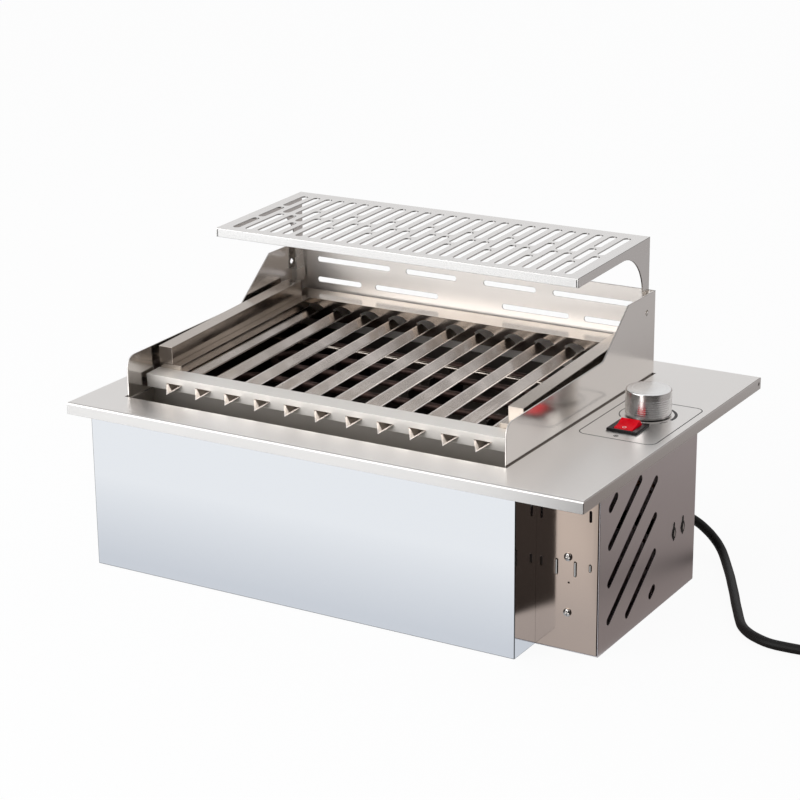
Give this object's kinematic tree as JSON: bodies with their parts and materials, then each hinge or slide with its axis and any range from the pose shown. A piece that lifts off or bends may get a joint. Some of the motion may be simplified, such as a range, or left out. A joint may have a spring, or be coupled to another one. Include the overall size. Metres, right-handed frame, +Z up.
{
  "type": "built-in electric grill",
  "caption": "Built-in electric grill: steel worktop plate over a polished housing, sloping V gutters above tubular heaters, wind guard, lift-off warming rack, knob and lit rocker switch.",
  "frame": {"origin": "on the floor under the middle of the worktop plate", "axes": "+X to the right along the plate's long side, +Y to the back, +Z up"},
  "size_m": [0.9049, 0.43, 0.336],
  "materials": {
    "plate_steel": "fine brushed",
    "mirror_steel": "mirror polished",
    "tub_steel": "plain rolled",
    "guard_steel": "brushed",
    "rack_steel": "brushed",
    "grate_steel": "half polished",
    "heater_sheath": "dark heat-stained",
    "ceramic": "matte ceramic",
    "brass_parts": "plain",
    "bright_steel": "plated",
    "knob_metal": "satin turned",
    "pale_plastic": "moulded",
    "black_plastic": "moulded",
    "red_plastic": "translucent red",
    "lead_insulation": "silicone",
    "black_rubber": "satin"
  },
  "bodies": {
    "base": {"top_plate": "plate_steel", "housing": "mirror_steel", "control_cover": "mirror_steel", "control_front_plate": "mirror_steel", "inner_tub": "tub_steel", "fat_trough": "tub_steel", "heater_supports": "tub_steel", "cross_strut": "tub_steel", "heater_flange": "tub_steel", "control_bracket": "tub_steel", "wind_guard": "guard_steel", "left_grate_rest": "guard_steel", "right_grate_rest": "guard_steel", "rack_sockets": "guard_steel", "heating_element": "heater_sheath", "heater_insulators": "ceramic", "terminal_block": "ceramic", "heater_terminals": "brass_parts", "front_plate_screws": "bright_steel", "regulator_nut": "bright_steel", "plug_pins": "bright_steel", "energy_regulator": "pale_plastic", "switch_bezel": "black_plastic", "switch_body": "black_plastic", "cable_gland": "black_plastic", "gland_nut": "black_plastic", "cord_tie": "black_plastic", "internal_leads": "lead_insulation", "cord": "black_rubber", "cord_coil": "black_rubber", "plug_body": "black_rubber"},
    "knob": {"knob": "knob_metal", "regulator_shaft": "bright_steel"},
    "rocker": {"switch_rocker": "red_plastic"},
    "rack": {"warming_rack": "rack_steel"},
    "grate": {"grate_frame": "grate_steel", "front_rail": "grate_steel", "left_handle_bar": "grate_steel", "right_handle_bar": "grate_steel", "gutter_01": "grate_steel", "gutter_02": "grate_steel", "gutter_03": "grate_steel", "gutter_04": "grate_steel", "gutter_05": "grate_steel", "gutter_06": "grate_steel", "gutter_07": "grate_steel", "gutter_08": "grate_steel", "gutter_09": "grate_steel", "gutter_10": "grate_steel", "gutter_11": "grate_steel"}
  },
  "joints": [
    {"name": "knob_turn", "type": "hinge", "parent": "base", "child": "knob", "pos_m": [0.247, 0.042, 0.2], "axis": [0, 0, -1], "range_deg": [0, 285]},
    {"name": "rocker_tip", "type": "hinge", "parent": "base", "child": "rocker", "pos_m": [0.247, -0.0068, 0.181], "axis": [-1, 0, 0], "range_deg": [0, 32]},
    {"name": "grate_lift", "type": "slide", "parent": "base", "child": "grate", "axis": [0, 0, 1], "range_m": [0, 0.06]},
    {"name": "rack_lift", "type": "slide", "parent": "base", "child": "rack", "axis": [0, 0, 1], "range_m": [0, 0.1]}
  ]
}
